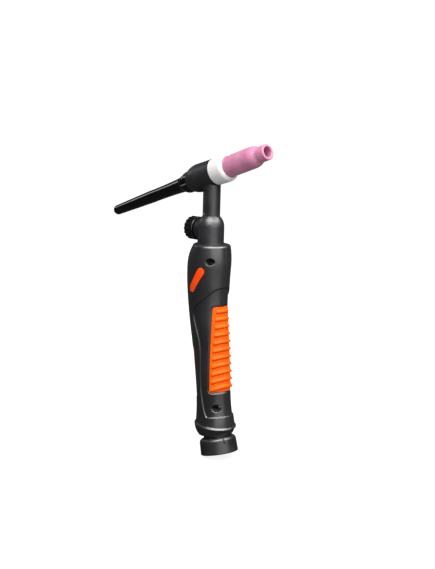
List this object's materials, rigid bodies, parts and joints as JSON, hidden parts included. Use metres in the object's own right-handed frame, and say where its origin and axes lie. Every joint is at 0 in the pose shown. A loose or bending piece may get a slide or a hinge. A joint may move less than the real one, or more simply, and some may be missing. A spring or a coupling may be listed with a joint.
{
  "type": "tig torch",
  "caption": "Hand-held TIG welding torch with a slanted head, ceramic cup, long back cap, gas valve knob, two-shell handle with grip pads, and a ball-jointed swivelling cable collar.",
  "frame": {"origin": "centre of the cable sleeve's mouth in the collar's lower face", "axes": "+Z along the neck, away from the cable; +X towards the side that the cup points to; +Y completes the right hand, across the parting plane of the handle shells"},
  "size_m": [0.166, 0.032, 0.2393],
  "materials": {
    "shell_plastic": "fine moulded texture",
    "grip_rubber": "matt, ribbed",
    "badge_plastic": "satin",
    "screw_steel": "blackened",
    "head_rubber": "satin moulded rubber",
    "brass": "machined",
    "copper": "machined",
    "steel": "turned",
    "gasket_white": "smooth",
    "alumina_pink": "unglazed, smooth",
    "cap_black": "polished",
    "knob_black": "satin",
    "collar_plastic": "satin moulded",
    "seal_rubber": "matt"
  },
  "bodies": {
    "handle": {"handle_shell_left": "shell_plastic", "handle_shell_right": "shell_plastic", "handle_screws": "screw_steel", "front_grip_pad": "grip_rubber", "rear_grip_pad": "grip_rubber", "badge_inlay": "badge_plastic", "head_insulation": "head_rubber", "head_core": "brass", "neck_tube": "copper", "valve_block": "brass", "tail_tube": "copper", "power_nipple": "brass", "valve_gland": "brass", "cup_gasket": "gasket_white", "nozzle": "alumina_pink", "collet_body": "copper"},
    "valve_ring": {"valve_o_ring": "seal_rubber"},
    "valve_knob": {"valve_knob": "knob_black", "valve_stem": "steel"},
    "collet_group": {"cap_o_ring": "seal_rubber", "collet": "copper"},
    "back_cap": {"back_cap": "cap_black"},
    "ball": {"ball_stub": "collar_plastic"},
    "collar": {"sleeve_collar": "collar_plastic"}
  },
  "joints": [
    {"name": "valve_travel", "type": "slide", "parent": "handle", "child": "valve_ring", "axis": [-1, 0, 0], "range_m": [0, 0.002]},
    {"name": "valve_turn", "type": "hinge", "parent": "valve_ring", "child": "valve_knob", "pos_m": [-0.03035, 0, 0.1694], "axis": [-1, 0, 0], "range_deg": [0, 720]},
    {"name": "cap_travel", "type": "slide", "parent": "handle", "child": "collet_group", "axis": [-0.9449, 0, -0.3272], "range_m": [0, 0.00254]},
    {"name": "cap_turn", "type": "hinge", "parent": "collet_group", "child": "back_cap", "pos_m": [-0.03614, 0, 0.20451], "axis": [-0.9449, 0, -0.3272], "range_deg": [0, 720]},
    {"name": "knuckle_tilt", "type": "hinge", "parent": "handle", "child": "ball", "pos_m": [-0.00575, 0, 0.0234], "axis": [0, 1, 0], "range_deg": [-0.2, 19.8]},
    {"name": "collar_swivel", "type": "hinge", "parent": "ball", "child": "collar", "pos_m": [-0.00575, 0, 0.0234], "axis": [-0.2385, 0, 0.9711], "continuous": true}
  ],
  "couplings": [
    {"joint": "valve_travel", "follows": "valve_turn", "m_per_rad": 0.00015915},
    {"joint": "cap_travel", "follows": "cap_turn", "m_per_rad": 0.00020212}
  ]
}
